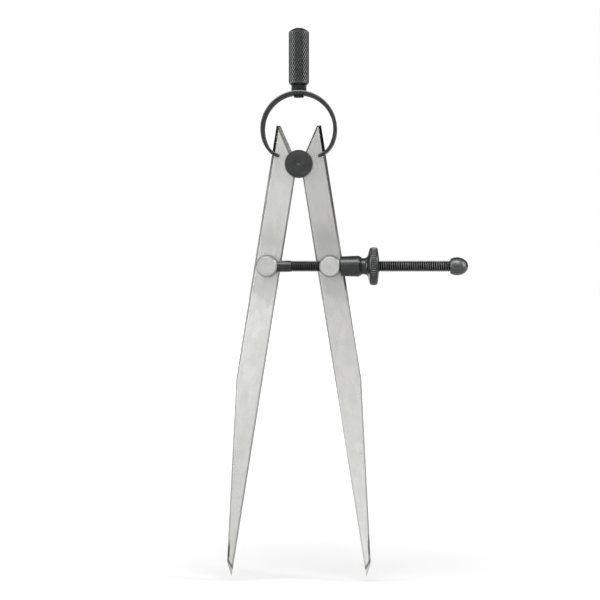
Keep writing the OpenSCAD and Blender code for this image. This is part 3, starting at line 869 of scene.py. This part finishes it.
floor_white, floor_tree, floor_shader = new_material("white_floor")
floor_shader.inputs["Base Color"].default_value = floor_tone
floor_shader.inputs["Roughness"].default_value = 0.9
floor_shader.inputs["Specular IOR Level"].default_value = 0
floor_shader.inputs["Emission Color"].default_value = white
ray_kind = add_node(floor_tree, "LightPath", {}).outputs
floor_seen = ray_kind["Is Camera Ray"]
for kind in ("Is Glossy Ray", "Is Transmission Ray"):
    either = add_node(floor_tree, "Math", {0: floor_seen, 1: ray_kind[kind]}, operation="MAXIMUM")
    floor_seen = either.outputs["Value"]
from_lit = off_axis(floor_tree, object_place(floor_tree), lit_middle, (1, 1, 0))
glow = spread(floor_tree, from_lit, lit_radius, dim_radius, 0.03, 1.0)
connect(floor_tree, floor_shader.inputs["Emission Strength"], multiply(floor_tree, floor_seen, glow))
floor_mesh.materials.append(floor_white)

# Light: a white panel in front of the divider in a dim room, so that flat faces are bright and rims and
# edges that face away are drawn dark, and three soft lamps: one overhead in front and one at each side.
panel = ((0, 1), (0.03, 1), (0.13, 0.35), (0.5, 0.3), (0.8, 0.12), (1, 0.08))
lamp_distance = 0.8
world = bpy.data.worlds.new("studio")
bpy.context.scene.world = world
world.use_nodes = True
sky = world.node_tree
direction = add_node(sky, "TexCoord", {}).outputs["Generated"]
towards = split(sky, direction)
sideways = off_axis(sky, direction, (0, 0, 0), (1, 1, 0))
behind = add_node(sky, "Math", {0: towards["Y"], 1: sideways}, operation="DIVIDE").outputs["Value"]
room_tone = tone_ramp(sky, spread(sky, behind, -1, 1, 0, 1), panel)
room_strength = spread(sky, towards["Z"], 0.2, 0.45, 0.87, 1.9)
room = add_node(sky, "Background", {"Color": room_tone, "Strength": room_strength}).outputs["Background"]
backdrop = sky.nodes["Background"]
backdrop.inputs["Color"].default_value = white
to_camera = add_node(sky, "LightPath", {}).outputs["Is Camera Ray"]
shown = add_node(sky, "MixShader", {0: to_camera, 1: room, 2: backdrop.outputs["Background"]})
connect(sky, sky.nodes["World Output"].inputs["Surface"], shown.outputs["Shader"])


def facing(azimuth, elevation, distance, target):
    """Place and turn of something that looks at a target from an azimuth, 0 in front and 90 at the right,
    and an elevation, both in degrees."""
    turn, up = math.radians(azimuth), math.radians(elevation)
    away = np.array([math.sin(turn) * math.cos(up), -math.cos(turn) * math.cos(up), math.sin(up)])
    return np.array(target) + distance * away, (math.pi / 2 - up, 0, turn)


def soft_lamp(name, azimuth, elevation, width, height, glow):
    """A flat lamp that faces the posts. Its glow is its brightness, where 1 is white."""
    data = bpy.data.lights.new(name, "AREA")
    data.shape = "RECTANGLE"
    data.size, data.size_y = width, height
    data.energy = glow * math.pi * width * height
    lamp = bpy.data.objects.new(name, data)
    bpy.context.scene.collection.objects.link(lamp)
    lamp.visible_camera = False
    lamp.location, lamp.rotation_euler = facing(azimuth, elevation, lamp_distance, (0, 0, post_z))


soft_lamp("overhead_lamp", -8, 62, width=0.9, height=0.4, glow=8)
soft_lamp("left_lamp", -65, 10, width=0.3, height=0.8, glow=10)
soft_lamp("right_lamp", 70, 22, width=0.2, height=0.6, glow=13)

# Camera: in front of the divider's middle, a little to its right and a little above.
# Its target and lens make the divider nearly fill the picture's height.
camera_azimuth = 1.9
camera_elevation = 1.5
camera_distance = 0.6
camera_target = (0.4 * mm, 0, -87.82 * mm)
camera_data = bpy.data.cameras.new("camera")
camera_data.lens = 98.95
camera_data.sensor_width = 36
camera = bpy.data.objects.new("camera", camera_data)
bpy.context.scene.collection.objects.link(camera)
bpy.context.scene.camera = camera
camera.location, camera.rotation_euler = facing(
    camera_azimuth, camera_elevation, camera_distance, camera_target)

bpy.context.scene.view_settings.view_transform = "Standard"
